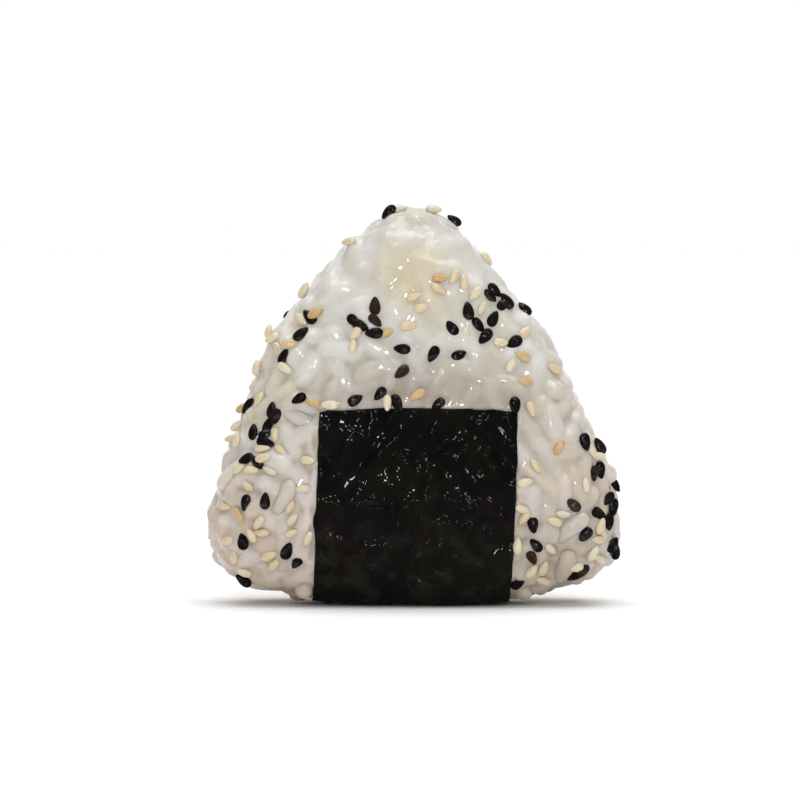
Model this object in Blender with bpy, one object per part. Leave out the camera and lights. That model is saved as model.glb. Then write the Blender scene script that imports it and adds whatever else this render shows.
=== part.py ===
"""An onigiri: rice pressed into a rounded triangle and rolled in sesame, on a strip of nori.

Metres, +Z up. The front face looks towards -Y, and the folded nori's flat underside is what it
stands on. The nori runs up the front, under the rice and up the back.
"""
import math
import random

import bmesh
import bpy
import numpy as np
from mathutils import Matrix, Vector
from mathutils.bvhtree import BVHTree

# The rice from the front: three round corners joined by three bulging sides
CORNER_SPREAD = 0.0520
CORNER_RISE = 0.0121
CORNER_RADIUS = 0.0090
APEX_RISE = 0.0582
APEX_RADIUS = 0.0100
SIDE_RADIUS = 0.0860

# The rice from the side: two gently crowned faces that turn over a round rim
THICKNESS = 0.0300
RIM_POWER = 3.2
MIDDLE = Vector((0.0, 0.0, 0.0280))
HALF_BREADTH = 0.0320

# Uneven pressing: swells of the outline by direction and width in degrees, and slow lumps all over
SWELLS = (
    (-34, 8, 0.0010),
    (-13, 12, 0.0009),
    (34, 12, 0.0005),
    (57, 8, -0.0005),
    (121, 10, 0.0009),
    (144, 9, 0.0014),
    (172, 9, -0.0006),
)
LUMP_HEIGHT = 0.0004
LUMP_PITCH = 0.0075
LUMP_SHIFTS = (0.6, 1.9)

# The core lies this far under the pressed surface, and the pieces on it reach up to that surface
CORE_DEPTH = 0.0008
CORE_SEGMENTS = 44
CORE_RINGS = 18
CORE_DENT = 0.0004

# Cooked short-grain rice
GRAIN_SIZE = Vector((0.0076, 0.0030, 0.0027))
GRAIN_SMALLEST = 0.86
GRAIN_LARGEST = 1.08
GRAIN_TIP = math.radians(7)
GRAIN_DEPTH = 0.0012
GRAIN_SPACING = 0.0062
GRAIN_SIDES = 5
GRAIN_RINGS = 3

# Sesame, sparser towards the top
SEED_SIZE = Vector((0.0033, 0.0019, 0.0010))
SEED_SPACING = 0.0077
SEED_SIDES = 4
SEED_RINGS = 3
SEED_POINT = 0.35
SPARSE_ABOVE = 0.0500
SPARSE_SHARE = 0.35

# The nori, a moist strip laid a little askew
NORI_WIDTH = 0.0334
NORI_RISE = 0.0331
NORI_THICKNESS = 0.0004
NORI_LIFT = 0.00025
NORI_SHIFT = -0.0004
NORI_LEAN = 0.031
NORI_ARCH = 0.0006
NORI_FLAT = 0.0200
NORI_EDGE_RISE = 0.0004
NORI_COLUMNS = 16
NORI_ROWS = 36
WAVE_HEIGHT = 0.0003
WAVE_PITCH = 0.0016
WAVE_DIRECTIONS = ((1.0, 0.0), (0.33, 0.80), (0.35, -0.59))
PATH_START = math.radians(-45)
PATH_END = math.radians(225)
PATH_SAMPLES = 120

# Clear space between the two nodes
GAP = 0.00035

RICE_COLOUR = (0.80, 0.78, 0.73)
RICE_ROUGHNESS = 0.45
NORI_COLOUR = (0.012, 0.015, 0.010)
NORI_ROUGHNESS = 0.40

THROWS = 9000
SEED = 4


def arc(centre, radius, start, end, count=60):
    """Return points along a circle from one angle to a larger one."""
    angles = np.linspace(start, end, count)
    return centre + radius * np.stack([np.cos(angles), np.sin(angles)], axis=1)


def side_centre(first, first_radius, second, second_radius):
    """Return the centre of the side's circle, which touches both corner circles from outside."""
    to_first = SIDE_RADIUS - first_radius
    to_second = SIDE_RADIUS - second_radius
    apart = np.linalg.norm(second - first)
    along = (second - first) / apart
    inward = np.array([-along[1], along[0]])
    step = (to_first**2 - to_second**2 + apart**2) / (2 * apart)
    return first + along * step + inward * math.sqrt(to_first**2 - step**2)


def outline_table():
    """Return the outline's directions from the middle, in order, and its reach in each."""
    corners = [
        (np.array([CORNER_SPREAD / 2, CORNER_RISE]), CORNER_RADIUS),
        (np.array([0.0, APEX_RISE]), APEX_RADIUS),
        (np.array([-CORNER_SPREAD / 2, CORNER_RISE]), CORNER_RADIUS),
    ]
    sides = []
    for (first, first_radius), (second, second_radius) in zip(corners, corners[1:] + corners[:1]):
        sides.append(side_centre(first, first_radius, second, second_radius))
    stretches = []
    for index, (corner, radius) in enumerate(corners):
        following = corners[(index + 1) % 3][0]
        start = math.atan2(*(corner - sides[index - 1])[::-1])
        turn = math.atan2(*(corner - sides[index])[::-1])
        end = math.atan2(*(following - sides[index])[::-1])
        turn += math.tau * (turn < start)
        end += math.tau * math.ceil((turn - end) / math.tau)
        stretches.append(arc(corner, radius, start, turn))
        stretches.append(arc(sides[index], SIDE_RADIUS, turn, end))
    points = np.concatenate(stretches) - np.array([MIDDLE.x, MIDDLE.z])
    angles = np.arctan2(points[:, 1], points[:, 0])
    order = np.argsort(angles)
    return angles[order], np.hypot(points[:, 0], points[:, 1])[order]


OUTLINE_ANGLES, OUTLINE_REACH = outline_table()


def outline_reach(angle):
    """Return how far the outline lies from the middle in a direction, swells included."""
    reach = float(np.interp(angle, OUTLINE_ANGLES, OUTLINE_REACH, period=math.tau))
    for direction, width, height in SWELLS:
        off = math.remainder(angle - math.radians(direction), math.tau) / math.radians(width)
        reach += height * math.exp(-off * off)
    return reach


def lump(point):
    """Return how far the pressed surface stands out at a point because of slow lumps."""
    across = math.sin(point.x / LUMP_PITCH + LUMP_SHIFTS[0]) * math.cos(point.z / LUMP_PITCH)
    slanting = math.sin((point.y + point.z / 2) / LUMP_PITCH + LUMP_SHIFTS[1])
    return LUMP_HEIGHT * (across + slanting) / 2


def share(point, offset):
    """Return 1 on the pressed surface moved out by offset, less inside it and more outside."""
    out = offset + lump(point)
    side = point - MIDDLE
    across = math.hypot(side.x, side.z) / (outline_reach(math.atan2(side.z, side.x)) + out)
    through = abs(side.y) / (THICKNESS / 2 + out)
    return across**RIM_POWER + through**RIM_POWER


def on_surface(start, ray, offset=0.0, steps=24):
    """Return where a ray from a point inside meets the pressed surface moved out by offset."""
    for _ in range(steps):
        ray = ray * share(start + ray, offset) ** (-1 / RIM_POWER)
    return start + ray


def normal_at(point):
    """Return the outward direction of the pressed surface at a point."""
    step = 1e-4
    slopes = []
    for axis in range(3):
        move = Vector((0.0, 0.0, 0.0))
        move[axis] = step
        slopes.append(share(point + move, 0.0) - share(point - move, 0.0))
    return Vector(slopes).normalized()


def ray_through(unit):
    """Stretch a direction on a ball to the rice's own proportions."""
    return Vector((unit.x * HALF_BREADTH, unit.y * THICKNESS / 2, unit.z * HALF_BREADTH))


def material(name, colour, roughness):
    """Return a plain non-metallic material."""
    made = bpy.data.materials.new(name)
    made.use_nodes = True
    shader = made.node_tree.nodes["Principled BSDF"]
    shader.inputs["Base Color"].default_value = (*colour, 1.0)
    shader.inputs["Roughness"].default_value = roughness
    shader.inputs["Metallic"].default_value = 0.0
    return made


def as_object(name, bm, surface=None, collection=None):
    """Turn a bmesh into an object and free it."""
    mesh = bpy.data.meshes.new(name)
    bm.to_mesh(mesh)
    bm.free()
    if surface:
        mesh.materials.append(surface)
    made = bpy.data.objects.new(name, mesh)
    (collection or bpy.context.scene.collection).objects.link(made)
    return made


def build_core(rng):
    """Return the bare pressed rice, dented between grains, and flat where it rests on the nori."""
    bm = bmesh.new()
    bmesh.ops.create_uvsphere(bm, u_segments=CORE_SEGMENTS, v_segments=CORE_RINGS, radius=1.0)
    bmesh.ops.rotate(bm, verts=bm.verts, matrix=Matrix.Rotation(math.pi / 2, 3, "X"))
    for vert in bm.verts:
        ray = ray_through(vert.co)
        dent = rng.uniform(0.0, CORE_DENT)
        if not clear_of_nori([on_surface(MIDDLE, ray)]):
            dent = 0.0
        vert.co = on_surface(MIDDLE, ray, -CORE_DEPTH - dent)
        vert.co.z = max(vert.co.z, NORI_THICKNESS + NORI_EDGE_RISE + GAP)
    bmesh.ops.triangulate(bm, faces=bm.faces)
    return as_object("rice_ball", bm, material("rice", RICE_COLOUR, RICE_ROUGHNESS))


def ellipsoid(size, sides, rings, point=0.0):
    """Return a few-sided grain lying along X; point draws its +X end in, as on a sesame seed."""
    bm = bmesh.new()
    bmesh.ops.create_uvsphere(bm, u_segments=sides, v_segments=rings, radius=0.5)
    bmesh.ops.rotate(bm, verts=bm.verts, matrix=Matrix.Rotation(math.pi / 2, 3, "Y"))
    for vert in bm.verts:
        narrowing = 1.0 - point * (vert.co.x + 0.5)
        vert.co = Vector((vert.co.x * size.x, vert.co.y * size.y * narrowing, vert.co.z * size.z))
    bmesh.ops.triangulate(bm, faces=bm.faces)
    return bm


def seat(place, outward, turn):
    """Return the transform that lays a piece on the rice, its Z outwards, turned about it."""
    facing = outward.to_track_quat("Z", "Y").to_matrix().to_4x4()
    return Matrix.Translation(place) @ facing @ Matrix.Rotation(turn, 4, "Z")


def lean_at(y, z):
    """Return where along X the askew strip's middle line is at a place on its path."""
    return NORI_SHIFT - math.copysign(NORI_LEAN, y) * (abs(y) + z)


def clear_of_nori(corners):
    """Return whether a piece stays beside or above the strip and off the table."""
    for corner in corners:
        beside = abs(corner.x - lean_at(corner.y, corner.z)) > NORI_WIDTH / 2 + GAP
        above = corner.z > NORI_RISE + GAP
        if corner.z < GAP or not (beside or above):
            return False
    return True


def throw(rng, spacing, taken):
    """Return a place on the pressed surface at least spacing from those taken, or None."""
    unit = Vector([rng.gauss(0.0, 1.0) for _ in range(3)]).normalized()
    place = on_surface(MIDDLE, ray_through(unit), 0.0, steps=6)
    for other in taken:
        if (place - other).length < spacing:
            return None
    return place


def add_grains(collection, rng):
    """Lay rice grains half into the core, as evenly as random throws allow."""
    taken = []
    for _ in range(THROWS):
        place = throw(rng, GRAIN_SPACING, taken)
        if place is None:
            continue
        outward = normal_at(place)
        size = GRAIN_SIZE * rng.uniform(GRAIN_SMALLEST, GRAIN_LARGEST)
        lying = seat(place - outward * GRAIN_DEPTH, outward, rng.uniform(0.0, math.pi))
        grain = ellipsoid(size, GRAIN_SIDES, GRAIN_RINGS)
        grain.transform(lying @ Matrix.Rotation(rng.uniform(-GRAIN_TIP, GRAIN_TIP), 4, "Y"))
        if clear_of_nori([vert.co for vert in grain.verts]):
            taken.append(place)
            as_object(f"grain_{len(taken)}", grain, collection=collection)
        else:
            grain.free()


def surface_tree(objects):
    """Return a search tree over the outer surface that several objects make together."""
    points = []
    faces = []
    for piece in objects:
        first = len(points)
        points.extend(vert.co.copy() for vert in piece.data.vertices)
        faces.extend([first + corner for corner in face.vertices] for face in piece.data.polygons)
    return BVHTree.FromPolygons(points, faces)


def add_seeds(collection, core, rng):
    """Lay sesame on the rice where a ray from outside first meets it."""
    rice = surface_tree([core, *collection.objects])
    taken = []
    for _ in range(THROWS):
        place = throw(rng, SEED_SPACING, taken)
        if place is None or (place.z > SPARSE_ABOVE and rng.random() > SPARSE_SHARE):
            continue
        outward = normal_at(place)
        met, facing, _, _ = rice.ray_cast(place + outward * GRAIN_SIZE.z, -outward)
        seed = ellipsoid(SEED_SIZE, SEED_SIDES, SEED_RINGS, SEED_POINT)
        seed.transform(seat(met, (outward + facing).normalized(), rng.uniform(0.0, math.tau)))
        if clear_of_nori([vert.co for vert in seed.verts]):
            taken.append(place)
            as_object(f"seed_{len(taken)}", seed, collection=collection)
        else:
            seed.free()


def fuse(core, collection):
    """Union the core with everything in the collection, then remove the separate pieces."""
    union = core.modifiers.new("union", "BOOLEAN")
    union.operation = "UNION"
    union.solver = "MANIFOLD"
    union.operand_type = "COLLECTION"
    union.collection = collection
    bpy.context.view_layer.objects.active = core
    bpy.ops.object.modifier_apply(modifier=union.name)
    for piece in list(collection.objects):
        mesh = piece.data
        bpy.data.objects.remove(piece)
        bpy.data.meshes.remove(mesh)
    bpy.data.collections.remove(collection)


def keep_outer_shell(piece):
    """Delete every shell but the largest: scraps outside, and hollows sealed inside."""
    bm = bmesh.new()
    bm.from_mesh(piece.data)
    unseen = set(bm.faces)
    shells = []
    while unseen:
        shell = {unseen.pop()}
        edge_of_shell = list(shell)
        while edge_of_shell:
            for edge in edge_of_shell.pop().edges:
                for face in edge.link_faces:
                    if face in unseen:
                        unseen.remove(face)
                        shell.add(face)
                        edge_of_shell.append(face)
        shells.append(shell)
    largest = max(shells, key=len)
    loose = [face for shell in shells if shell is not largest for face in shell]
    bmesh.ops.delete(bm, geom=loose, context="FACES")
    bm.to_mesh(piece.data)
    bm.free()


def build_rice():
    """Return the rice with its grains and sesame fused on."""
    rng = random.Random(SEED)
    core = build_core(rng)
    pieces = bpy.data.collections.new("pieces")
    bpy.context.scene.collection.children.link(pieces)
    add_grains(pieces, rng)
    add_seeds(pieces, core, rng)
    fuse(core, pieces)
    keep_outer_shell(core)
    return core


def wave(across, along):
    """Return the strip's rise where it follows the grains under it."""
    sines = [math.sin((across * over + along * up) / WAVE_PITCH) for over, up in WAVE_DIRECTIONS]
    return WAVE_HEIGHT * (sines[0] * sines[1] + sines[2]) / 2


def strip_line(across):
    """Return the strip's path at one place across it, from its front edge to its back edge."""
    top = NORI_RISE + NORI_ARCH * (1 - (2 * across / NORI_WIDTH) ** 2)
    off_flat = max(abs(across) - NORI_FLAT / 2, 0.0) / (NORI_WIDTH / 2 - NORI_FLAT / 2)
    floor = NORI_EDGE_RISE * off_flat**2
    path = []
    for angle in np.linspace(PATH_START, PATH_END, PATH_SAMPLES):
        ray = Vector((0.0, -math.cos(angle), -math.sin(angle))) * THICKNESS / 2
        point = MIDDLE + ray
        for _ in range(2):
            start = MIDDLE + Vector((across + lean_at(point.y, max(point.z, floor)), 0.0, 0.0))
            point = on_surface(start, ray, NORI_LIFT + wave(across, angle * THICKNESS / 2))
        path.append((point.x, point.y, max(point.z, floor)))
    path = np.array(path)
    walked = np.concatenate([[0.0], np.cumsum(np.linalg.norm(np.diff(path, axis=0), axis=1))])
    third = PATH_SAMPLES // 3
    front_edge = np.interp(-top, -path[:third, 2], walked[:third])
    back_edge = np.interp(top, path[-third:, 2], walked[-third:])
    even = np.linspace(front_edge, back_edge, NORI_ROWS + 1)
    return np.stack([np.interp(even, walked, path[:, axis]) for axis in range(3)], axis=1)


def build_nori():
    """Return the thin strip folded round the base."""
    bm = bmesh.new()
    lines = []
    for column in range(NORI_COLUMNS + 1):
        across = NORI_WIDTH * (column / NORI_COLUMNS - 0.5)
        lines.append([bm.verts.new(point) for point in strip_line(across)])
    for left, right in zip(lines, lines[1:]):
        for row in range(NORI_ROWS):
            bm.faces.new((left[row], left[row + 1], right[row + 1], right[row]))
    bmesh.ops.triangulate(bm, faces=bm.faces)
    nori = as_object("nori", bm, material("nori", NORI_COLOUR, NORI_ROUGHNESS))
    wall = nori.modifiers.new("wall", "SOLIDIFY")
    wall.thickness = NORI_THICKNESS
    wall.offset = -1.0
    wall.use_even_offset = True
    return nori


def centre_on_origin(pieces):
    """Move the pieces together so that the middle of their box is above the origin."""
    bpy.context.view_layer.update()
    corners = [Vector(corner) for piece in pieces for corner in piece.bound_box]
    middle = Vector((0.0, 0.0, 0.0))
    for axis in (0, 1):
        values = [corner[axis] for corner in corners]
        middle[axis] = (min(values) + max(values)) / 2
    for piece in pieces:
        piece.data.transform(Matrix.Translation(-middle))


def main():
    for old in list(bpy.data.objects):
        bpy.data.objects.remove(old)
    centre_on_origin([build_rice(), build_nori()])


main()
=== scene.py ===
"""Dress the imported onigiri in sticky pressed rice, clear grains, black and white sesame and moist nori."""
import math
import random

import bpy
import numpy as np
from mathutils import Matrix, Vector, noise
from mathutils.bvhtree import BVHTree


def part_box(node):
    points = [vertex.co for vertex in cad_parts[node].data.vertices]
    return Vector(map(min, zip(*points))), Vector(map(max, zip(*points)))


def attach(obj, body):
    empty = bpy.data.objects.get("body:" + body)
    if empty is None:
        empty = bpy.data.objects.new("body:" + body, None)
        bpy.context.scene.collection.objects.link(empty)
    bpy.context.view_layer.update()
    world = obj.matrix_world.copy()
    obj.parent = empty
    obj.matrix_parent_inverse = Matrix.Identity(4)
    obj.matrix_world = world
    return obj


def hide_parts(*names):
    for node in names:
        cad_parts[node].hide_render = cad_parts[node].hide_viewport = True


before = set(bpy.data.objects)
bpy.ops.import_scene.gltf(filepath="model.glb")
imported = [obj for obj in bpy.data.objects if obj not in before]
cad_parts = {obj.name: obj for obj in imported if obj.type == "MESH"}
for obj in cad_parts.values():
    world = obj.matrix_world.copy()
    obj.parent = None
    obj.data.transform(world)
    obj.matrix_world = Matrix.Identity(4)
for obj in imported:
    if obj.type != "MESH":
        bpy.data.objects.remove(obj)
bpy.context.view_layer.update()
nori_low, nori_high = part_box("nori")

# The photo's frame in pixels: its size, its scale, and where the middle of the onigiri's foot is
PHOTO_SIZE = 800
PIXELS_PER_METRE = 5880
FOOT_COLUMN = 414.5
FOOT_ROW = 603.3
MIDDLE_ROW = 420

# How a pixel just off the onigiri's edge is moved inwards until the onigiri shows there
INWARD_STEPS = 20
INWARD_SHARE = 0.01

CAMERA_DISTANCE = 0.80
CAMERA_TILT = math.radians(2)
SENSOR_WIDTH = 36.0

# Cooked short-grain rice, in metres: a ball whose ends move apart from its middle, then bent
GRAIN_BALL = Vector((0.0046, 0.0033, 0.0030))
GRAIN_WAIST = 0.0015
GRAIN_MIDDLE = 1e-5
GRAIN_BEND = math.radians(14)
GRAIN_SCALES = (0.85, 1.08)

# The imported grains: a bed, and raised grains on it, each sunk by its depth
BED_SPACING = 0.0039
BED_DEPTH = 0.0009
BED_TIP = 0.2
RAISED_SPACING = 0.0066
RAISED_DEPTH = 0.0006
CORE_DROP = 0.00025

# The few grains that stand clear of the others, and those that show only an end
CLEAR_SPACING = 0.0150
CLEAR_DEPTH = 0.0008
CLEAR_SCALES = (0.85, 1.05)
CLEAR_MARGIN = 0.0035
CLEAR_PRESSED = 0.4
END_DEPTH = 0.0022
END_TIP = math.radians(75)

# The hand pressed the rice smooth between these heights, lower down on the right
PRESSED_FROM = 0.034
PRESSED_TO = 0.060
PRESSED_LEAN = 0.30
PRESSED_DEPTH = 0.0003

# The cells of the fused surfaces, and the rounds of smoothing that each gets
CORE_VOXEL = 0.0012
CORE_ROUNDS = 25
SKIN_VOXEL = 0.00042
SKIN_ROUNDS = 6
PRESSED_ROUNDS = 38
TINT_ROUNDS = 3
CREASE_DEPTH = 0.00014
SKIN_CREASE_ROUNDS = 8
GRAIN_CREASE_ROUNDS = 2

# Sesame
BLACK_SIZE = Vector((0.0032, 0.0019, 0.0011))
BLACK_TAPER = -0.6
BLACK_SPACING = 0.0040
WHITE_SIZE = Vector((0.0030, 0.0016, 0.0011))
WHITE_TAPER = -0.40
WHITE_SPACING = 0.0034
SEED_SCALES = (0.88, 1.06)
SEED_LIFTS = (-0.0001, 0.0003)
SEED_MARGIN = 0.001

# The front's seeds turn to the camera, more so near the onigiri's edge, where they also stand out
FRONT_SEED_SCALES = (0.85, 1.03)
FRONT_SEED_LIFTS = (-0.00005, 0.0003)
SEED_TILT = 0.45
LIMB_TILT = 0.8
LIMB_LIFT = 0.0004

# A seed's tint runs from 0 to 1, and the brown or golden seeds are those above the plain share
PLAIN_SHARE = 0.88
SPECIAL_FROM = 0.94

# The front ends where the surface turns this far to the back
FRONT_FACING = 0.12

# Behind the front, seeds are left out by these shares low down and at the top, and in clumps
BARE_LOW = 0.30
BARE_TOP = 0.95
CLUMP_SIZE = 0.010
CLUMP_SHARE = 0.7

# Where the random draws start, how many random places are tried, and how far above the smooth
# core a ray to the skin starts
FIRST_DRAW = 11
GRAIN_THROWS = 14000
CLEAR_THROWS = 9000
SEED_THROWS = 6000
RAY_START = 0.004

# The moist strip: a sheet that sinks between the grains, by its drop at most, and wrinkles
NORI_WALL = 0.00030
NORI_CLEAR = 0.00006
NORI_DROP = 0.0012
NORI_FLAT_RISE = 0.006
SPINE_RISE = 0.012
OUTER_FACING = 0.4
SHEET_LEVELS = 3
DRAPE_REACH = 0.002
DRAPE_ROUNDS = 12
CRINKLE_HEIGHT = 0.00050
CRINKLE_PITCH = 0.0024

# The strip's wet bands, each as its height and its gloss
WET_BANDS = ((0.0305, 0.27), (0.0210, 0.27), (0.0080, 0.75))
BAND_FAR = 0.0038
BAND_CLOSE = 0.0008

# The floor and the sun over it
FLOOR_SIZE = 40.0
FLOOR_COLOUR = (0.9, 0.9, 0.9, 1.0)
SUN_STRENGTH = 2.65
SUN_ANGLE = math.radians(70)
SUN_LEAN = math.radians(1.5)

# The room's light from behind the camera to the wall behind the onigiri, each as the share of the
# way and the strength there
ROOM_STOPS = ((0.20, 0.06), (0.40, 0.34), (0.89, 0.34), (0.92, 1.0))

# Small lamps in front of the onigiri, for its glints
LAMP_PLACES = ((0.15, -0.95, 0.28), (-0.20, -0.92, 0.50), (0.42, -0.80, 0.60), (-0.06, -0.97, 0.10))
LAMP_AIM = Vector((0.0, 0.0, 0.03))
LAMP_SIZE = 0.065
LAMP_POWER = 1.2
LAMP_COLOUR = (1.0, 0.985, 0.96)

# Colours of the rice, each pair from its whiter to its warmer grains; the lower pair is darker and warmer,
# as painted shade low down
RICE_UPPER = ((0.595, 0.59, 0.56), (0.55, 0.52, 0.455))
RICE_LOWER = ((0.565, 0.50, 0.46), (0.50, 0.415, 0.34))
RICE_TOP = (0.49, 0.48, 0.44)
RICE_CREAM = (0.565, 0.50, 0.355)
# Painted shade over the strip and at the right foot
RICE_SHADE = (0.37, 0.335, 0.29)
# Painted shade in the creases between grains
RICE_CREASE_SHADE = (0.405, 0.34, 0.235)

# Where the rice is yellowest, near the top of the front
YELLOW_PATCH = (0.0, -0.013, 0.056)

# Where painted shade darkens the rice, over the strip and at the right foot
SHADE_OVER_STRIP = (0.002, -0.015, 0.033)
SHADE_AT_FOOT = (0.025, -0.012, 0.009)

# Colours of the sesame, each pair its plain seeds
BLACK_PLAIN = ((0.0035, 0.0027, 0.0030), (0.0080, 0.0045, 0.0035))
BLACK_BROWN = (0.026, 0.015, 0.009)
BLACK_SPOTS = (0.014, 0.010, 0.009)
WHITE_PLAIN = ((0.63, 0.56, 0.415), (0.58, 0.475, 0.305))
WHITE_GOLDEN = (0.48, 0.32, 0.13)
WHITE_SPOTS = (0.56, 0.44, 0.26)

# Colours of the nori
NORI_BLACK = (0.0020, 0.0019, 0.0017)
NORI_GREEN = (0.0038, 0.0045, 0.0020)
NORI_PURPLE = (0.0046, 0.0030, 0.0029)
NORI_BROWN = (0.0130, 0.0112, 0.0090)

# Clear grains on the front, each by its pixel column and row and the slope of its length in degrees
CLEAR_GRAINS = (
    (570, 529, 37), (298, 418, -25), (284, 500, 60), (565, 570, 80), (614, 519, 90), (232, 470, 62),
)

# Grains on the front that show only an end, by pixel column and row
END_GRAINS = ((303, 588), (521, 593))

# Sesame on the front, each given as the clear grains are
BLACK_SEEDS = (
    (389, 210, 56), (453, 222, -35), (310, 317, -43), (301, 334, 45), (285, 357, 62), (354, 321, -40),
    (361, 326, -20), (374, 333, 0), (402, 349, -4), (380, 394, 50), (355, 400, 30), (299, 399, 30),
    (397, 403, -60), (438, 405, 45), (515, 406, 90), (494, 291, -50), (490, 296, -40), (505, 302, -50),
    (502, 305, 43), (493, 319, 62), (468, 311, -85), (478, 325, -48), (485, 337, 50), (452, 328, -55),
    (433, 354, 62), (459, 355, 28), (514, 343, 42), (526, 308, -50), (273, 410, 78), (276, 417, 70),
    (269, 425, 65), (250, 407, 40), (255, 433, -85), (266, 434, 20), (266, 442, -12), (248, 460, 12),
    (257, 462, -40), (246, 503, 80), (265, 501, 87), (243, 541, -87), (287, 551, 67), (297, 562, 58),
    (245, 579, -28), (584, 442, -75), (600, 447, -60), (592, 473, 88), (600, 470, -80), (613, 486, -55),
    (607, 499, 40), (612, 507, 90), (599, 514, -35), (609, 522, 90), (533, 525, -83), (536, 545, -47),
    (585, 535, 45), (611, 545, 48), (614, 551, 90), (572, 575, -15), (518, 583, 45),
)
BROWN_SEEDS = (
    (401, 372, 36), (375, 306, 90), (375, 321, -45), (573, 505, -40), (532, 557, -70), (583, 570, 65),
)
WHITE_SEEDS = (
    (347, 235, 0), (400, 211, 10), (433, 212, 0), (305, 289, 60), (302, 320, -40), (271, 333, 90),
    (274, 339, 20), (279, 349, -50), (286, 368, -30), (256, 368, 90), (408, 326, 5), (356, 333, 55),
    (353, 346, 80), (260, 400, 65), (330, 405, 0), (387, 403, 90), (485, 260, -55), (414, 297, 20),
    (421, 308, 20), (438, 289, -30), (454, 277, 60), (464, 283, 90), (475, 294, 45), (482, 308, 60),
    (500, 343, 0), (511, 365, 60), (553, 369, -25), (524, 333, 40), (531, 409, -70), (229, 440, 0),
    (238, 440, 90), (237, 427, 30), (275, 434, 90), (281, 451, -45), (263, 450, 0), (264, 458, 10),
    (270, 470, -25), (252, 470, 0), (241, 469, 40), (309, 460, 0), (248, 486, -50), (303, 489, 0),
    (226, 506, 0), (290, 507, 65), (293, 519, 50), (292, 533, 20), (260, 522, 50), (262, 533, 0),
    (252, 535, -60), (227, 541, 15), (234, 556, 90), (269, 556, 20), (274, 565, 50), (244, 572, -20),
    (308, 538, 70), (535, 466, -55), (525, 483, 15), (522, 509, -20), (524, 518, 50), (597, 457, 10),
    (591, 452, -50), (585, 485, 90), (563, 514, 0), (554, 522, -15), (600, 526, 70), (601, 533, -60),
    (597, 540, 0), (593, 553, 60), (598, 558, -30), (549, 548, -40), (518, 546, 90), (543, 567, 75),
    (532, 571, 50), (542, 580, -25), (574, 566, 0),
)
GOLDEN_SEEDS = (
    (316, 313, 30), (290, 344, 10), (313, 403, -20), (245, 409, 20), (440, 278, 5), (522, 356, -25),
    (239, 515, -50), (559, 447, 60), (525, 382, 0), (417, 395, 30), (386, 333, 20),
)


class Value:
    """A shader socket that Python's arithmetic works on, adding Math nodes."""

    def __init__(self, nodes, socket):
        self.nodes = nodes
        self.socket = socket

    def joined(self, operation, first, second):
        """Return what a Math node makes of two numbers or sockets."""
        return self.nodes.node("ShaderNodeMath", {"operation": operation}, {0: first, 1: second})

    def __add__(self, other):
        return self.joined("ADD", self, other)

    def __mul__(self, other):
        return self.joined("MULTIPLY", self, other)

    __radd__ = __add__
    __rmul__ = __mul__


class Nodes:
    """A node tree, built from short calls."""

    def __init__(self, tree):
        self.tree = tree

    def node(self, kind, settings=None, sockets=None, output=0):
        """Add a node, its settings first, then the value or link of each socket."""
        made = self.tree.nodes.new(kind)
        for name, value in (settings or {}).items():
            if name == "stops":
                set_stops(made.color_ramp.elements, value)
            else:
                setattr(made, name, value)
        for name, value in (sockets or {}).items():
            if isinstance(value, Value):
                self.tree.links.new(value.socket, made.inputs[name])
            else:
                made.inputs[name].default_value = value
        return Value(self, made.outputs[output])

    def mix(self, factor, first, second):
        """Return a colour between two colours."""
        colours = [value if isinstance(value, Value) else (*value, 1.0) for value in (first, second)]
        sockets = {0: factor, 6: colours[0], 7: colours[1]}
        return self.node("ShaderNodeMix", {"data_type": "RGBA"}, sockets, output=2)


def set_stops(elements, stops):
    """Give a ramp that ends in white its other stops, each a place and a grey."""
    elements.remove(elements[0])
    for position, strength in stops:
        elements.new(position).color = (strength, strength, strength, 1.0)


class Paint(Nodes):
    """A material under its Principled shader, built from short calls."""

    def __init__(self, name, **constants):
        self.material = bpy.data.materials.new(name)
        self.material.use_nodes = True
        super().__init__(self.material.node_tree)
        self.shader = self.tree.nodes["Principled BSDF"]
        for socket, value in constants.items():
            self.shader.inputs[socket.replace("_", " ")].default_value = value

    def feed(self, socket, value):
        """Link a value to one of the shader's own sockets."""
        self.tree.links.new(value.socket, self.shader.inputs[socket])

    def place(self):
        """Return the object's own coordinates."""
        return self.node("ShaderNodeTexCoord", output="Object")

    def rise(self):
        """Return the height above the table."""
        return self.node("ShaderNodeSeparateXYZ", None, {0: self.place()}, output="Z")

    def noise(self, size, detail=2.0, roughness=0.5, distortion=0.0):
        """Return noise whose spots are about size metres across."""
        sockets = {"Vector": self.place(), "Scale": 1 / size, "Detail": detail}
        sockets.update({"Roughness": roughness, "Distortion": distortion})
        return self.node("ShaderNodeTexNoise", None, sockets)

    def attribute(self, name):
        """Return a number stored on the mesh."""
        return self.node("ShaderNodeAttribute", {"attribute_name": name}, output="Fac")

    def between(self, value, low, high):
        """Return how far a value has come from low to high, from 0 to 1 and smoothly."""
        settings = {"interpolation_type": "SMOOTHSTEP"}
        sockets = {"Value": value, "From Min": low, "From Max": high}
        return self.node("ShaderNodeMapRange", settings, sockets)

    def near(self, middle, far, close, weights=(1.0, 1.0, 1.0)):
        """Return how close a place is to a middle, from 0 beyond far to 1 within close."""
        offset = self.node("ShaderNodeVectorMath", {"operation": "SUBTRACT"}, {0: self.place(), 1: middle})
        weighed = self.node("ShaderNodeVectorMath", {"operation": "MULTIPLY"}, {0: offset, 1: weights})
        distance = self.node("ShaderNodeVectorMath", {"operation": "LENGTH"}, {0: weighed}, output="Value")
        return self.between(distance, far, close)

    def bump(self, height, distance, strength=1.0):
        """Feed the shader's normal from a height."""
        sockets = {"Height": height, "Distance": distance, "Strength": strength}
        self.feed("Normal", self.node("ShaderNodeBump", None, sockets))


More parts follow.
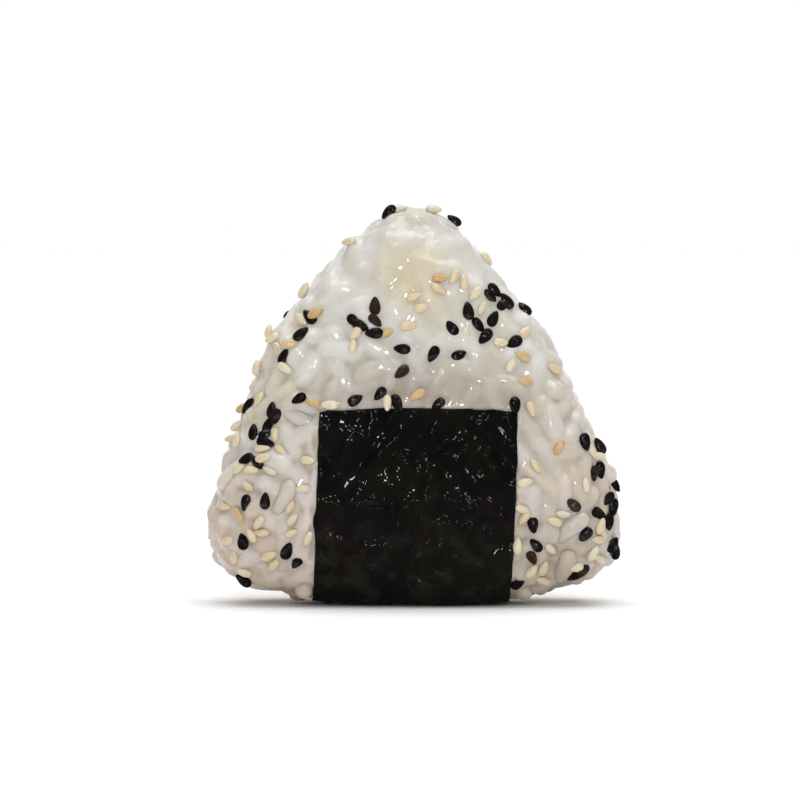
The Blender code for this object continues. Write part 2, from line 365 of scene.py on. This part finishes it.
def rice_paint(name):
    """Return cooked rice: each grain its own white, painted shade in the creases, low down, over the strip
    and at the right foot, wet in spots.
    """
    paint = Paint(
        name,
        Subsurface_Weight=0.6,
        Subsurface_Radius=(1.0, 0.85, 0.65),
        Subsurface_Scale=0.0032,
        Roughness=0.5,
        Specular_IOR_Level=0.2,
        Coat_Roughness=0.07,
    )
    rise = paint.rise()
    warmth = paint.between(paint.attribute("tint"), low=0.2, high=0.8)
    upper = paint.mix(warmth, *RICE_UPPER)
    lower = paint.mix(warmth, *RICE_LOWER)
    # Painted shade: the rice turns darker and warmer towards the bottom
    low_shaded = paint.mix(paint.between(rise, low=0.050, high=0.006), upper, lower)
    grey = paint.mix(paint.between(rise, low=0.052, high=0.066) * 0.6, low_shaded, RICE_TOP)
    cloud = paint.between(paint.noise(size=0.014), low=0.50, high=0.78) * 0.3
    yellow = paint.near(YELLOW_PATCH, far=0.010, close=0.002) * 0.8
    cream = paint.mix(cloud + yellow, grey, RICE_CREAM)
    # Painted shade over the strip and at the right foot
    over_strip = paint.near(SHADE_OVER_STRIP, far=0.014, close=0.003, weights=(0.5, 1.0, 1.0)) * 0.9
    at_foot = paint.near(SHADE_AT_FOOT, far=0.014, close=0.003) * 0.45
    shaded = paint.mix(over_strip + at_foot, cream, RICE_SHADE)
    # Painted shade in the creases
    crease = paint.between(paint.attribute("crease"), low=0.0, high=0.9) * 0.5
    paint.feed("Base Color", paint.mix(crease, shaded, RICE_CREASE_SHADE))
    paint.feed("Coat Weight", paint.between(paint.noise(size=0.0016), low=0.50, high=0.56))
    paint.bump(paint.noise(size=0.0010, detail=3.0, roughness=0.55), distance=0.00030, strength=0.2)
    return paint.material


def black_paint():
    """Return black sesame: near black, some seeds browner or bluer, moist."""
    paint = Paint("black_sesame", Roughness=0.5, Specular_IOR_Level=0.03, Coat_Roughness=0.10)
    tint = paint.attribute("tint")
    dark = paint.mix(paint.between(tint, low=0.3, high=0.7), *BLACK_PLAIN)
    brown = paint.mix(paint.between(tint, low=PLAIN_SHARE, high=0.9), dark, BLACK_BROWN)
    spots = paint.between(paint.noise(size=0.0006, detail=3.0), low=0.45, high=0.7) * 0.5
    paint.feed("Base Color", paint.mix(spots, brown, BLACK_SPOTS))
    gloss = paint.between(paint.noise(size=0.0012), low=0.50, high=0.60)
    paint.feed("Coat Weight", 0.02 + 0.5 * gloss)
    paint.bump(paint.noise(size=0.0005), distance=0.00012, strength=0.8)
    return paint.material


def white_paint():
    """Return toasted white sesame: cream, some seeds golden or tan."""
    paint = Paint(
        "white_sesame",
        Roughness=0.45,
        Coat_Weight=0.5,
        Coat_Roughness=0.12,
        Subsurface_Weight=0.3,
        Subsurface_Radius=(1.0, 0.8, 0.5),
        Subsurface_Scale=0.0008,
    )
    tint = paint.attribute("tint")
    cream = paint.mix(paint.between(tint, low=0.0, high=0.8), *WHITE_PLAIN)
    golden = paint.mix(paint.between(tint, low=PLAIN_SHARE, high=1.0), cream, WHITE_GOLDEN)
    spots = paint.between(paint.noise(size=0.0009, detail=3.0), low=0.5, high=0.8) * 0.5
    paint.feed("Base Color", paint.mix(spots, golden, WHITE_SPOTS))
    paint.bump(paint.noise(size=0.0006), distance=0.00010, strength=0.7)
    return paint.material


def nori_paint():
    """Return moist nori: near black, green, purple and brown in places, wet glints on its crinkles."""
    paint = Paint("nori", Specular_IOR_Level=0.03, Roughness=0.5, Coat_Roughness=0.08)
    greener = paint.between(paint.noise(size=0.011, detail=3.0), low=0.45, high=0.7)
    green = paint.mix(greener, NORI_BLACK, NORI_GREEN)
    redder = paint.between(paint.noise(size=0.008, detail=3.0), low=0.5, high=0.75)
    purple = paint.mix(redder, green, NORI_PURPLE)
    mottles = paint.between(paint.noise(size=0.0032, detail=3.0, roughness=0.6), low=0.45, high=0.65)
    browner = paint.between(paint.rise(), low=0.024, high=0.004) * (0.25 + 0.75 * mottles)
    paint.feed("Base Color", paint.mix(browner, purple, NORI_BROWN))
    patches = paint.between(paint.noise(size=0.006), low=0.42, high=0.58)
    wet = 0.03
    for height, gloss in WET_BANDS:
        wet = wet + paint.near((0.0, 0.0, height), BAND_FAR, BAND_CLOSE, weights=(0.0, 0.0, 1.0)) * gloss
    upward = paint.between(paint.attribute("lean"), low=0.0, high=0.06)
    paint.feed("Coat Weight", 0.015 + (0.3 + 0.7 * patches) * upward * wet)
    fine = paint.noise(size=0.0011, detail=3.0, roughness=0.55, distortion=0.4)
    paint.bump(fine, distance=0.0004, strength=0.5)
    return paint.material


def activate(piece):
    """Select one piece alone and make it the active one."""
    bpy.ops.object.select_all(action="DESELECT")
    piece.select_set(True)
    bpy.context.view_layer.objects.active = piece


def apply_modifiers(piece):
    """Apply a piece's modifiers in their order."""
    activate(piece)
    for modifier in list(piece.modifiers):
        bpy.ops.object.modifier_apply(modifier=modifier.name)


def copy_of(node, name):
    """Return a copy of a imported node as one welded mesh."""
    piece = bpy.data.objects.new(name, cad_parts[node].data.copy())
    piece.data.materials.clear()
    bpy.context.scene.collection.objects.link(piece)
    activate(piece)
    bpy.ops.object.mode_set(mode="EDIT")
    bpy.ops.mesh.select_all(action="SELECT")
    bpy.ops.mesh.remove_doubles(threshold=1e-6)
    bpy.ops.object.mode_set(mode="OBJECT")
    return piece


def fuse(piece, voxel):
    """Rebuild overlapping shapes as one skin of even faces."""
    remesh = piece.modifiers.new("remesh", "REMESH")
    remesh.mode = "VOXEL"
    remesh.voxel_size = voxel
    remesh.use_smooth_shade = True
    apply_modifiers(piece)


def relax(piece, rounds, group=""):
    """Even out a piece, by the weights of a vertex group if one is named."""
    even = piece.modifiers.new("even", "SMOOTH")
    even.factor = 0.5
    even.iterations = rounds
    even.vertex_group = group
    apply_modifiers(piece)


def join(pieces, name):
    """Join pieces into the first of them."""
    bpy.ops.object.select_all(action="DESELECT")
    for piece in pieces:
        piece.select_set(True)
    bpy.context.view_layer.objects.active = pieces[0]
    bpy.ops.object.join()
    pieces[0].name = name
    return pieces[0]


def discard(piece):
    """Remove a model or a guide that has done its work."""
    mesh = piece.data
    bpy.data.objects.remove(piece)
    bpy.data.meshes.remove(mesh)


def surface_tree(piece):
    """Return a search tree over a piece's faces."""
    points = [vert.co.copy() for vert in piece.data.vertices]
    faces = [list(face.vertices) for face in piece.data.polygons]
    return BVHTree.FromPolygons(points, faces)


def edges_of(piece):
    """Return a mesh's edges as pairs of vertex numbers."""
    return np.array([edge.vertices for edge in piece.data.edges])


def store(piece, name, values):
    """Store one number for each point of a mesh."""
    if name in piece.data.attributes:
        piece.data.attributes.remove(piece.data.attributes[name])
    layer = piece.data.attributes.new(name, "FLOAT", "POINT")
    layer.data.foreach_set("value", values)


def relaxed(values, edges, count, rounds):
    """Return values on a mesh, each pulled halfway to its neighbours' mean a number of times."""
    joins = np.bincount(edges.ravel(), minlength=count)
    for _ in range(rounds):
        sums = np.bincount(edges[:, 0], values[edges[:, 1]], count)
        sums += np.bincount(edges[:, 1], values[edges[:, 0]], count)
        values = 0.5 * values + 0.5 * sums / joins
    return values


def mark_creases(piece, rounds):
    """Store how far each point lies in a crease, 1 at the usual depth below its surroundings; the rice
    paints shade there.
    """
    mesh = piece.data
    count = len(mesh.vertices)
    points = np.zeros(count * 3)
    normals = np.zeros(count * 3)
    mesh.vertices.foreach_get("co", points)
    mesh.vertices.foreach_get("normal", normals)
    points, normals = points.reshape(-1, 3), normals.reshape(-1, 3)
    edges = edges_of(piece)
    even = np.stack([relaxed(points[:, axis], edges, count, rounds) for axis in range(3)], axis=1)
    sunk = np.einsum("ij,ij->i", even - points, normals) / CREASE_DEPTH
    store(piece, "crease", np.clip(sunk, -1.0, 1.0))


def laid(place, outward, heading, tip=0.0):
    """Return the transform that lays a model on a surface: its Z outwards, its X along heading."""
    forward = (heading - outward * heading.dot(outward)).normalized()
    forward = (forward * math.cos(tip) + outward * math.sin(tip)).normalized()
    sideways = outward.cross(forward).normalized()
    axes = Matrix((forward, sideways, forward.cross(sideways))).transposed()
    return Matrix.Translation(place) @ axes.to_4x4()


def laid_copy(model, transform, tint):
    """Return a copy of a model with its own mesh, laid in place, with its own tint."""
    piece = model.copy()
    piece.data = model.data.copy()
    piece.data.transform(transform)
    store(piece, "tint", [tint] * len(piece.data.vertices))
    bpy.context.scene.collection.objects.link(piece)
    return piece


def scaled(rng, scales):
    """Return a random change of size between two scales."""
    return Matrix.Scale(rng.uniform(*scales), 4)


def any_way(rng):
    """Return a random direction."""
    return Vector([rng.gauss(0, 1) for _ in range(3)]).normalized()


def sloping(slope):
    """Return the direction along the front that slopes up to the right by slope degrees."""
    return Vector((math.cos(math.radians(slope)), 0.0, math.sin(math.radians(slope))))


def scatter(piece, spacing, throws, rng):
    """Return places and outward directions over a piece, at least spacing apart."""
    mesh = piece.data
    mesh.calc_loop_triangles()
    areas = np.cumsum([triangle.area for triangle in mesh.loop_triangles])
    cells = {}
    spots = []
    for _ in range(throws):
        triangle = mesh.loop_triangles[int(np.searchsorted(areas, rng.random() * areas[-1]))]
        first, second, third = (mesh.vertices[corner].co for corner in triangle.vertices)
        across, along = rng.random(), rng.random()
        if across + along > 1:
            across, along = 1 - across, 1 - along
        place = first + (second - first) * across + (third - first) * along
        column, row, layer = (int(value // spacing) for value in place)
        near = []
        for x in (column - 1, column, column + 1):
            for y in (row - 1, row, row + 1):
                for z in (layer - 1, layer, layer + 1):
                    near.extend(cells.get((x, y, z), ()))
        if all((place - other).length >= spacing for other in near):
            cells.setdefault((column, row, layer), []).append(place)
            spots.append((place, triangle.normal.copy()))
    return spots


def lying_ball():
    """Add a ball one across whose poles lie along X."""
    bpy.ops.object.select_all(action="DESELECT")
    bpy.ops.mesh.primitive_uv_sphere_add(segments=12, ring_count=10, radius=0.5)
    ball = bpy.context.object
    bpy.ops.object.mode_set(mode="EDIT")
    bpy.ops.mesh.select_all(action="SELECT")
    bpy.ops.transform.rotate(value=math.pi / 2, orient_axis="Y", center_override=(0, 0, 0))
    bpy.ops.object.mode_set(mode="OBJECT")
    return ball


def stretched(model, size):
    """Stretch a model to size and shade it smooth."""
    activate(model)
    bpy.ops.object.mode_set(mode="EDIT")
    bpy.ops.mesh.select_all(action="SELECT")
    bpy.ops.transform.resize(value=size)
    bpy.ops.object.mode_set(mode="OBJECT")
    bpy.ops.object.shade_smooth()
    return model


def model_grain():
    """Return a grain of rice: blunt and a little bent."""
    grain = stretched(lying_ball(), GRAIN_BALL)
    for vert in grain.data.vertices:
        if abs(vert.co.x) > GRAIN_MIDDLE:
            vert.co.x += math.copysign(GRAIN_WAIST, vert.co.x)
    bent = grain.modifiers.new("bent", "SIMPLE_DEFORM")
    bent.deform_method = "BEND"
    bent.deform_axis = "Z"
    bent.angle = GRAIN_BEND
    apply_modifiers(grain)
    return grain


def model_seed(size, taper):
    """Return a sesame seed: a flat drop, pointed at one end."""
    seed = lying_ball()
    pointed = seed.modifiers.new("pointed", "SIMPLE_DEFORM")
    pointed.deform_method = "TAPER"
    pointed.deform_axis = "X"
    pointed.factor = taper
    apply_modifiers(seed)
    return stretched(seed, size)


def pressed(place):
    """Return how smoothly the hand pressed the rice at a place, from 0 low down to 1 at the top."""
    height = place.z + place.x * PRESSED_LEAN
    share = min(max((height - PRESSED_FROM) / (PRESSED_TO - PRESSED_FROM), 0.0), 1.0)
    return share * share * (3 - 2 * share)


def over_nori(place, margin=0.0):
    """Return whether a place lies where the strip covers the rice, or within a margin of it."""
    return nori_low.x - margin < place.x < nori_high.x + margin and place.z < nori_high.z + margin


def build_skin(core, guide, grain, rng):
    """Return the core covered in grains, fused into one sticky skin that keeps each grain's tint."""
    normals = [vert.normal.copy() for vert in core.data.vertices]
    for vert, normal in zip(core.data.vertices, normals):
        vert.co -= normal * CORE_DROP
    grains = []
    for spacing, depth in ((BED_SPACING, BED_DEPTH), (RAISED_SPACING, RAISED_DEPTH)):
        for place, outward in scatter(guide, spacing, GRAIN_THROWS, rng):
            sunk = place - outward * (depth + PRESSED_DEPTH * pressed(place))
            lying = laid(sunk, outward, any_way(rng), rng.uniform(-BED_TIP, BED_TIP))
            grains.append(laid_copy(grain, lying @ scaled(rng, GRAIN_SCALES), rng.random()))
    packed = join(grains, "rice_skin")
    tree = surface_tree(packed)
    grain_tints = [value.value for value in packed.data.attributes["tint"].data]
    corners = [face.vertices[0] for face in packed.data.polygons]
    skin = join([core, packed], "rice_skin")
    fuse(skin, SKIN_VOXEL)
    relax(skin, SKIN_ROUNDS)
    press = skin.vertex_groups.new(name="pressed")
    for vert in skin.data.vertices:
        press.add([vert.index], pressed(vert.co), "REPLACE")
    relax(skin, PRESSED_ROUNDS, press.name)
    skin.vertex_groups.clear()
    tints = np.array([grain_tints[corners[tree.find_nearest(vert.co)[2]]] for vert in skin.data.vertices])
    store(skin, "tint", relaxed(tints, edges_of(skin), len(tints), TINT_ROUNDS))
    return skin


def pixel_ray(column, row):
    """Return the camera's ray through a pixel of the photo."""
    camera = bpy.context.scene.camera
    across = (column - PHOTO_SIZE / 2) / PIXELS_PER_METRE
    up = (PHOTO_SIZE / 2 - row) / PIXELS_PER_METRE
    ray = camera.matrix_world.to_3x3() @ Vector((across, up, -CAMERA_DISTANCE))
    return camera.matrix_world.translation, ray.normalized()


def seen_at(tree, column, row):
    """Return where a surface shows at a pixel, or, off its edge, the nearest place inwards."""
    for step in range(INWARD_STEPS):
        share = step * INWARD_SHARE
        inner_column = column + (FOOT_COLUMN - column) * share
        inner_row = row + (MIDDLE_ROW - row) * share
        place, outward, _, _ = tree.ray_cast(*pixel_ray(inner_column, inner_row))
        if place is not None:
            return place, outward
    raise ValueError(f"nothing shows near {column}, {row}")


def skin_under(tree, place, outward):
    """Return where the skin lies under or over a place on the smooth core, and its own direction."""
    return tree.ray_cast(place + outward * RAY_START, -outward)[:2]


def build_clear_grains(tree, guide, grain, rng):
    """Return the grains that stand clear of the skin, the front's ones as seen."""
    grains = []
    for column, row, slope in CLEAR_GRAINS:
        place, outward = seen_at(tree, column, row)
        lying = laid(place - outward * CLEAR_DEPTH, outward, sloping(slope))
        grains.append(laid_copy(grain, lying, rng.random()))
    for column, row in END_GRAINS:
        place, outward = seen_at(tree, column, row)
        lying = laid(place - outward * END_DEPTH, outward, any_way(rng), END_TIP)
        grains.append(laid_copy(grain, lying, rng.random()))
    for place, outward in scatter(guide, CLEAR_SPACING, CLEAR_THROWS, rng):
        behind = outward.y > FRONT_FACING
        if behind and not over_nori(place, CLEAR_MARGIN) and pressed(place) < CLEAR_PRESSED:
            met, facing = skin_under(tree, place, outward)
            lying = laid(met - facing * CLEAR_DEPTH, outward, any_way(rng))
            grains.append(laid_copy(grain, lying @ scaled(rng, CLEAR_SCALES), rng.random()))
    return join(grains, "rice_grains")


def front_seeds(seed, spots, special, tree, rng):
    """Return the front's seeds of one kind as seen, each special one browner or more golden."""
    seeds = []
    for column, row, slope in spots:
        place, outward = seen_at(tree, column, row)
        limb = 1 - min(abs(outward.y), 1.0)
        facing = (outward + Vector((0.0, -SEED_TILT - LIMB_TILT * limb, 0.0))).normalized()
        heading = sloping(slope) * rng.choice((-1, 1))
        lift = rng.uniform(*FRONT_SEED_LIFTS) + LIMB_LIFT * limb
        tint = rng.random() * PLAIN_SHARE
        if (column, row, slope) in special:
            tint = rng.uniform(SPECIAL_FROM, 1.0)
        lying = laid(place + outward * lift, facing, heading)
        seeds.append(laid_copy(seed, lying @ scaled(rng, FRONT_SEED_SCALES), tint))
    return seeds


def other_seeds(seed, spacing, tree, guide, rng):
    """Return the seeds of one kind on the other sides, in clumps and fewer towards the top."""
    seeds = []
    for place, outward in scatter(guide, spacing, SEED_THROWS, rng):
        bare = BARE_LOW + (BARE_TOP - BARE_LOW) * pressed(place)
        bare += CLUMP_SHARE * noise.noise(place / CLUMP_SIZE)
        if outward.y < FRONT_FACING or over_nori(place, SEED_MARGIN) or rng.random() < bare:
            continue
        met, facing = skin_under(tree, place, outward)
        lying = laid(met + facing * rng.uniform(*SEED_LIFTS), facing, any_way(rng))
        seeds.append(laid_copy(seed, lying @ scaled(rng, SEED_SCALES), rng.random()))
    return seeds


def build_seeds(name, seed, plain, special, spacing, tree, guide, rng):
    """Return one kind of sesame: the front's seeds as seen, and the other sides' scattered."""
    seeds = front_seeds(seed, plain + special, special, tree, rng)
    seeds += other_seeds(seed, spacing, tree, guide, rng)
    discard(seed)
    return join(seeds, name)


def outer_sheet():
    """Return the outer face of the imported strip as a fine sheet."""
    sheet = copy_of("nori", "nori_strip")
    bpy.ops.object.mode_set(mode="EDIT")
    bpy.ops.mesh.select_mode(type="FACE")
    bpy.ops.mesh.select_all(action="DESELECT")
    bpy.ops.object.mode_set(mode="OBJECT")
    for face in sheet.data.polygons:
        spine = Vector((face.center.x, 0.0, max(face.center.z, SPINE_RISE)))
        face.select = face.normal.dot((face.center - spine).normalized()) < OUTER_FACING
    bpy.ops.object.mode_set(mode="EDIT")
    bpy.ops.mesh.delete(type="FACE")
    bpy.ops.mesh.select_all(action="SELECT")
    bpy.ops.mesh.tris_convert_to_quads()
    bpy.ops.object.mode_set(mode="OBJECT")
    fine = sheet.modifiers.new("fine", "SUBSURF")
    fine.levels = fine.render_levels = SHEET_LEVELS
    fine.boundary_smooth = "PRESERVE_CORNERS"
    apply_modifiers(sheet)
    return sheet


def tuck(skin, sheet_tree):
    """Press the rice down where it would stand through the strip."""
    room = NORI_WALL + NORI_CLEAR
    reach = 3 * room
    for vert in skin.data.vertices:
        if over_nori(vert.co):
            met, outward, _, gap = sheet_tree.find_nearest(vert.co)
            above = (vert.co - met).dot(outward) + room
            if above > 0 and gap < reach:
                vert.co -= outward * above


def drape(sheet, tree):
    """Sink the sheet towards the rice between the grains that hold it up."""
    mesh = sheet.data
    count = len(mesh.vertices)
    room = np.zeros(count)
    for vert in mesh.vertices:
        start = vert.co + vert.normal * DRAPE_REACH
        distance = tree.ray_cast(start, -vert.normal, 3 * DRAPE_REACH)[3]
        if distance is not None:
            room[vert.index] = distance - DRAPE_REACH - NORI_WALL - NORI_CLEAR
    room = np.clip(room, 0.0, NORI_DROP)
    drops = np.minimum(relaxed(room, edges_of(sheet), count, DRAPE_ROUNDS), room)
    drops = relaxed(drops, edges_of(sheet), count, 1)
    normals = [vert.normal.copy() for vert in mesh.vertices]
    for vert, normal, drop in zip(mesh.vertices, normals, drops):
        vert.co -= normal * float(drop) * min(vert.co.z / NORI_FLAT_RISE, 1.0)
        vert.co.z = max(vert.co.z, 0.0)


def crinkle_sheet(sheet):
    """Wrinkle the sheet finely, inwards only."""
    crinkle = sheet.modifiers.new("crinkle", "DISPLACE")
    crinkle.texture = bpy.data.textures.new("crinkle", "CLOUDS")
    crinkle.texture.noise_scale = CRINKLE_PITCH
    crinkle.texture.noise_depth = 1
    crinkle.strength = CRINKLE_HEIGHT
    crinkle.mid_level = 1.0
    apply_modifiers(sheet)


def thicken(sheet):
    """Give the sheet its thickness, inwards, and store how far each point leans up."""
    wall = sheet.modifiers.new("wall", "SOLIDIFY")
    wall.thickness = NORI_WALL
    wall.offset = -1.0
    apply_modifiers(sheet)
    bpy.ops.object.shade_smooth()
    for vert in sheet.data.vertices:
        vert.co.z = max(vert.co.z, 0.0)
    store(sheet, "lean", [vert.normal.z for vert in sheet.data.vertices])


def add_camera():
    """Look at the onigiri as the photo does."""
    data = bpy.data.cameras.new("camera")
    data.sensor_width = SENSOR_WIDTH
    data.lens = SENSOR_WIDTH * CAMERA_DISTANCE * PIXELS_PER_METRE / PHOTO_SIZE
    data.clip_start = 0.01
    camera = bpy.data.objects.new("camera", data)
    bpy.context.scene.collection.objects.link(camera)
    across = (PHOTO_SIZE / 2 - FOOT_COLUMN) / PIXELS_PER_METRE
    up = (FOOT_ROW - PHOTO_SIZE / 2) / PIXELS_PER_METRE
    back = Vector((0.0, -math.cos(CAMERA_TILT), math.sin(CAMERA_TILT)))
    camera.location = Vector((across, 0.0, up)) + back * CAMERA_DISTANCE
    camera.rotation_euler = (math.pi / 2 - CAMERA_TILT, 0.0, 0.0)
    bpy.context.scene.camera = camera
    bpy.context.view_layer.update()


def add_floor():
    """Lay a plain pale floor."""
    bpy.ops.object.select_all(action="DESELECT")
    bpy.ops.mesh.primitive_plane_add(size=FLOOR_SIZE)
    floor = bpy.context.object
    floor.name = "floor"
    floor.data.materials.append(Paint("floor", Base_Color=FLOOR_COLOUR, Roughness=1.0).material)


def add_lamp(place):
    """Add a small square lamp that faces the onigiri."""
    data = bpy.data.lights.new("lamp", "AREA")
    data.shape = "SQUARE"
    data.size = LAMP_SIZE
    data.energy = LAMP_POWER
    data.color = LAMP_COLOUR
    lamp = bpy.data.objects.new("lamp", data)
    lamp.location = place
    lamp.rotation_euler = (LAMP_AIM - Vector(place)).to_track_quat("-Z", "Y").to_euler()
    bpy.context.scene.collection.objects.link(lamp)


def add_sun():
    """Light the floor and the onigiri from overhead, as a wide soft lamp does."""
    data = bpy.data.lights.new("sun", "SUN")
    data.energy = SUN_STRENGTH
    data.angle = SUN_ANGLE
    sun = bpy.data.objects.new("sun", data)
    sun.rotation_euler = (0.0, SUN_LEAN, 0.0)
    bpy.context.scene.collection.objects.link(sun)


def add_room():
    """Surround everything with soft light, and show a plain white wall on every side."""
    world = bpy.data.worlds.new("studio")
    bpy.context.scene.world = world
    world.use_nodes = True
    room = Nodes(world.node_tree)
    around = room.node("ShaderNodeTexCoord", output="Generated")
    depth = room.node("ShaderNodeSeparateXYZ", None, {0: around}, output="Y")
    share = room.node("ShaderNodeMapRange", None, {"Value": depth, "From Min": -1.0})
    light = room.node("ShaderNodeValToRGB", {"stops": ROOM_STOPS}, {"Fac": share})
    seen = room.node("ShaderNodeLightPath", output="Is Camera Ray")
    wall = room.mix(seen, light, (1.0, 1.0, 1.0))
    world.node_tree.links.new(wall.socket, world.node_tree.nodes["Background"].inputs["Color"])


def add_stage():
    """Stand the onigiri on a floor in soft light from above, with small lamps for its glints."""
    add_floor()
    for place in LAMP_PLACES:
        add_lamp(place)
    add_sun()
    add_room()
    bpy.context.scene.view_settings.view_transform = "Standard"


def finish_piece(piece, paint, node):
    """Give a piece its material, hang it under the root body, and hide the imported part it replaces."""
    piece.data.materials.clear()
    piece.data.materials.append(paint)
    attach(piece, "root")
    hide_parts(node)


def main():
    """Build the onigiri's pieces, then its stage."""
    rng = random.Random(FIRST_DRAW)
    add_camera()
    core = copy_of("rice_ball", "rice_core")
    fuse(core, CORE_VOXEL)
    relax(core, CORE_ROUNDS)
    guide = core.copy()
    guide.data = core.data.copy()
    bpy.context.scene.collection.objects.link(guide)
    grain = model_grain()
    skin = build_skin(core, guide, grain, rng)
    nori = outer_sheet()
    tuck(skin, surface_tree(nori))
    drape(nori, surface_tree(skin))
    crinkle_sheet(nori)
    tuck(skin, surface_tree(nori))
    thicken(nori)
    mark_creases(skin, SKIN_CREASE_ROUNDS)
    tree = surface_tree(skin)
    clear = build_clear_grains(tree, guide, grain, rng)
    mark_creases(clear, GRAIN_CREASE_ROUNDS)
    discard(grain)
    black_seed = model_seed(BLACK_SIZE, BLACK_TAPER)
    black = build_seeds(
        "black_sesame", black_seed, BLACK_SEEDS, BROWN_SEEDS, BLACK_SPACING, tree, guide, rng
    )
    white_seed = model_seed(WHITE_SIZE, WHITE_TAPER)
    white = build_seeds(
        "white_sesame", white_seed, WHITE_SEEDS, GOLDEN_SEEDS, WHITE_SPACING, tree, guide, rng
    )
    discard(guide)
    finish_piece(skin, rice_paint("rice_skin"), "rice_ball")
    finish_piece(clear, rice_paint("rice_grains"), "rice_ball")
    finish_piece(black, black_paint(), "rice_ball")
    finish_piece(white, white_paint(), "rice_ball")
    finish_piece(nori, nori_paint(), "nori")
    add_stage()


main()
